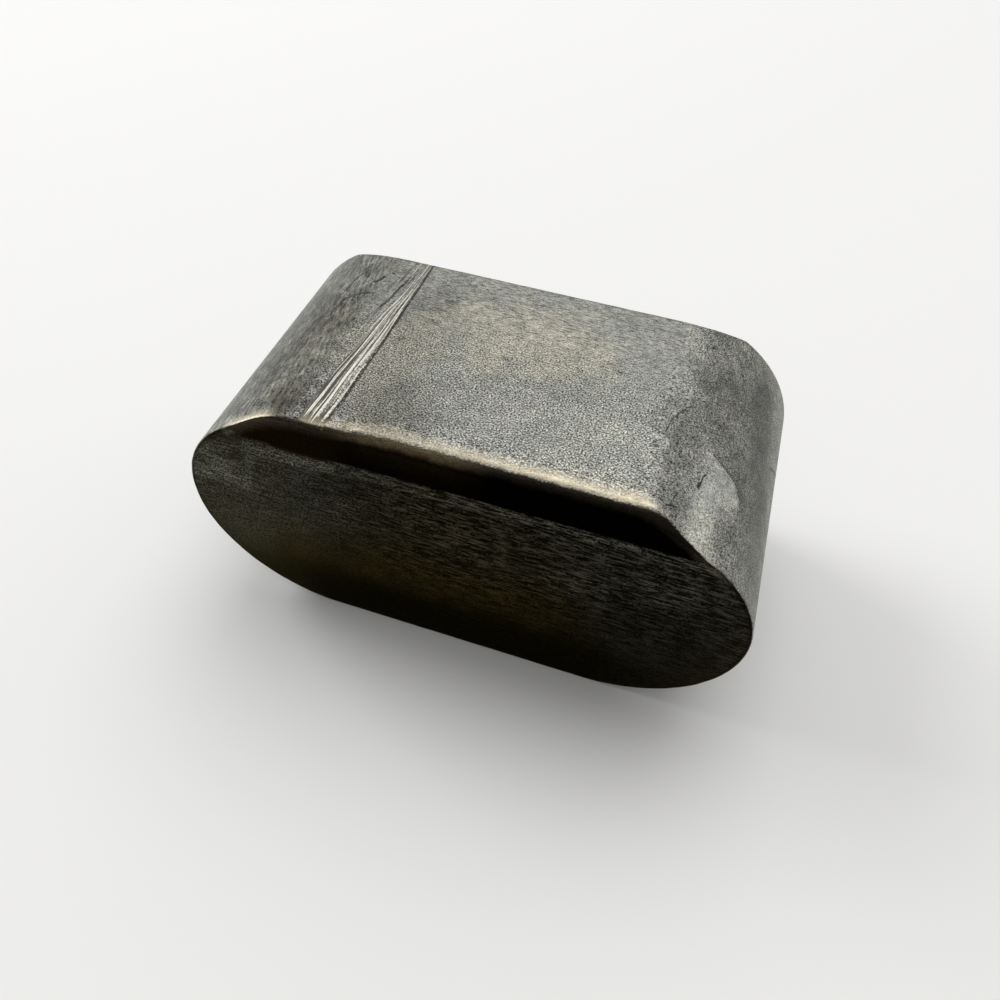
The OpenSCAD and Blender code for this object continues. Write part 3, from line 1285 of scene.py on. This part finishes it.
@dataclass
class Studio:
    """Pale floor, soft light and the camera. Places are in millimetres.

    The room's light fills the back evenly. In front there is only a low pale wall, and a faint
    light from above that grows over front_rise. These directions are parts of a unit vector:
    back_start towards the back, and wall_top and front_rise upwards.
    """

    eye: tuple[float, float, float] = (7.051, -24.031, 34.932)
    aim: tuple[float, float, float] = (0.459, -1.270, 5.273)
    roll: float = math.radians(2.6277)
    lens: float = 28.257
    floor_side: float = 1200.0
    floor_colour: Colour = (0.93, 0.93, 0.925)
    sky: float = 0.88
    horizon: float = 0.6
    back_start: Plan = (-0.25, 0.4)
    low_wall: float = 0.2
    wall_top: float = 0.22
    front: float = 0.33
    front_rise: Plan = (0.33, 0.53)
    lamps: tuple[Lamp, ...] = (
        Lamp("back_lamp", (20.0, 160.0, 340.0), 300.0, 0.44),
        Lamp("left_lamp", (-480.0, 90.0, 300.0), 300.0, 1.45),
    )

    def set_up(self) -> None:
        """Builds the whole studio."""
        self.lay_floor()
        self.light_sky()
        for lamp in self.lamps:
            lamp.hang()
        self.place_camera()
        bpy.context.scene.view_settings.view_transform = "Standard"

    def lay_floor(self) -> None:
        """Lays the pale floor that the key rests on."""
        half = self.floor_side * MM / 2
        mesh = bpy.data.meshes.new("floor")
        corners = [(-half, -half, 0.0), (half, -half, 0.0), (half, half, 0.0), (-half, half, 0.0)]
        mesh.from_pydata(corners, [], [(0, 1, 2, 3)])
        floor = bpy.data.objects.new("floor", mesh)
        bpy.context.scene.collection.objects.link(floor)
        paint = bpy.data.materials.new("pale_floor")
        paint.use_nodes = True
        shader = paint.node_tree.nodes["Principled BSDF"]
        shader.inputs["Base Color"].default_value = (*self.floor_colour, 1.0)
        shader.inputs["Roughness"].default_value = 0.9
        shader.inputs["Specular IOR Level"].default_value = 0.1
        mesh.materials.append(paint)

    def light_sky(self) -> None:
        """Lights the room, with a strength for each direction."""
        world = bpy.data.worlds.new("studio_room")
        world.use_nodes = True
        bpy.context.scene.world = world
        world.node_tree.nodes.clear()
        pad = NodePad(world.node_tree)
        _, depth, up = pad.split(pad.num(pad.place("ShaderNodeTexCoord"), "Generated"))
        sky = pad.ramp(depth, *self.back_start, 0.0, self.sky) * pad.ramp(up, 0.0, 0.5, self.horizon, 1.0)
        wall = pad.ramp(up, 0.0, self.wall_top, self.low_wall, 0.0)
        front = wall + pad.ramp(up, *self.front_rise, 0.0, self.front)
        strength = pad.maths("MAXIMUM", sky, front)
        light = pad.place("ShaderNodeBackground", {"Color": (1.0, 0.99, 0.97, 1.0), "Strength": strength})
        end = pad.place("ShaderNodeOutputWorld")
        world.node_tree.links.new(light.outputs[0], end.inputs[0])

    def place_camera(self) -> None:
        """Stands the camera where the photograph was taken from."""
        data = bpy.data.cameras.new("camera")
        data.sensor_width = 36.0
        data.lens = self.lens
        data.clip_start = 1.0 * MM
        data.clip_end = 10.0
        camera = bpy.data.objects.new("camera", data)
        eye = Vector(self.eye) * MM
        ahead = (Vector(self.aim) * MM - eye).normalized()
        right = ahead.cross(Vector((0.0, 0.0, 1.0))).normalized()
        up = right.cross(ahead)
        level = Matrix((right, up, -ahead)).transposed().to_4x4()
        camera.matrix_world = Matrix.Translation(eye) @ level @ Matrix.Rotation(self.roll, 4, "Z")
        bpy.context.scene.collection.objects.link(camera)
        bpy.context.scene.camera = camera


def main() -> None:
    """Builds the studio and the key, and reports each."""
    logging.basicConfig(level=logging.INFO, format="%(name)s: %(message)s")
    Studio().set_up()
    log.info("studio is set up")
    low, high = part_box(NODE)
    length, width, height = (top - bottom for bottom, top in zip(low, high))
    form = KeyForm(length, width, height)
    effects, edges = SteelEffects(), EdgeFinish()
    wall = WallFinish().material(form, effects, edges)
    face = FaceFinish().material(form, effects, edges)
    piece = MachineKey(form).build(wall, face)
    triangles = sum(len(side.vertices) - 2 for side in piece.data.polygons)
    log.info("%s has %d triangles", piece.name, triangles)


if __name__ == "__main__":
    main()
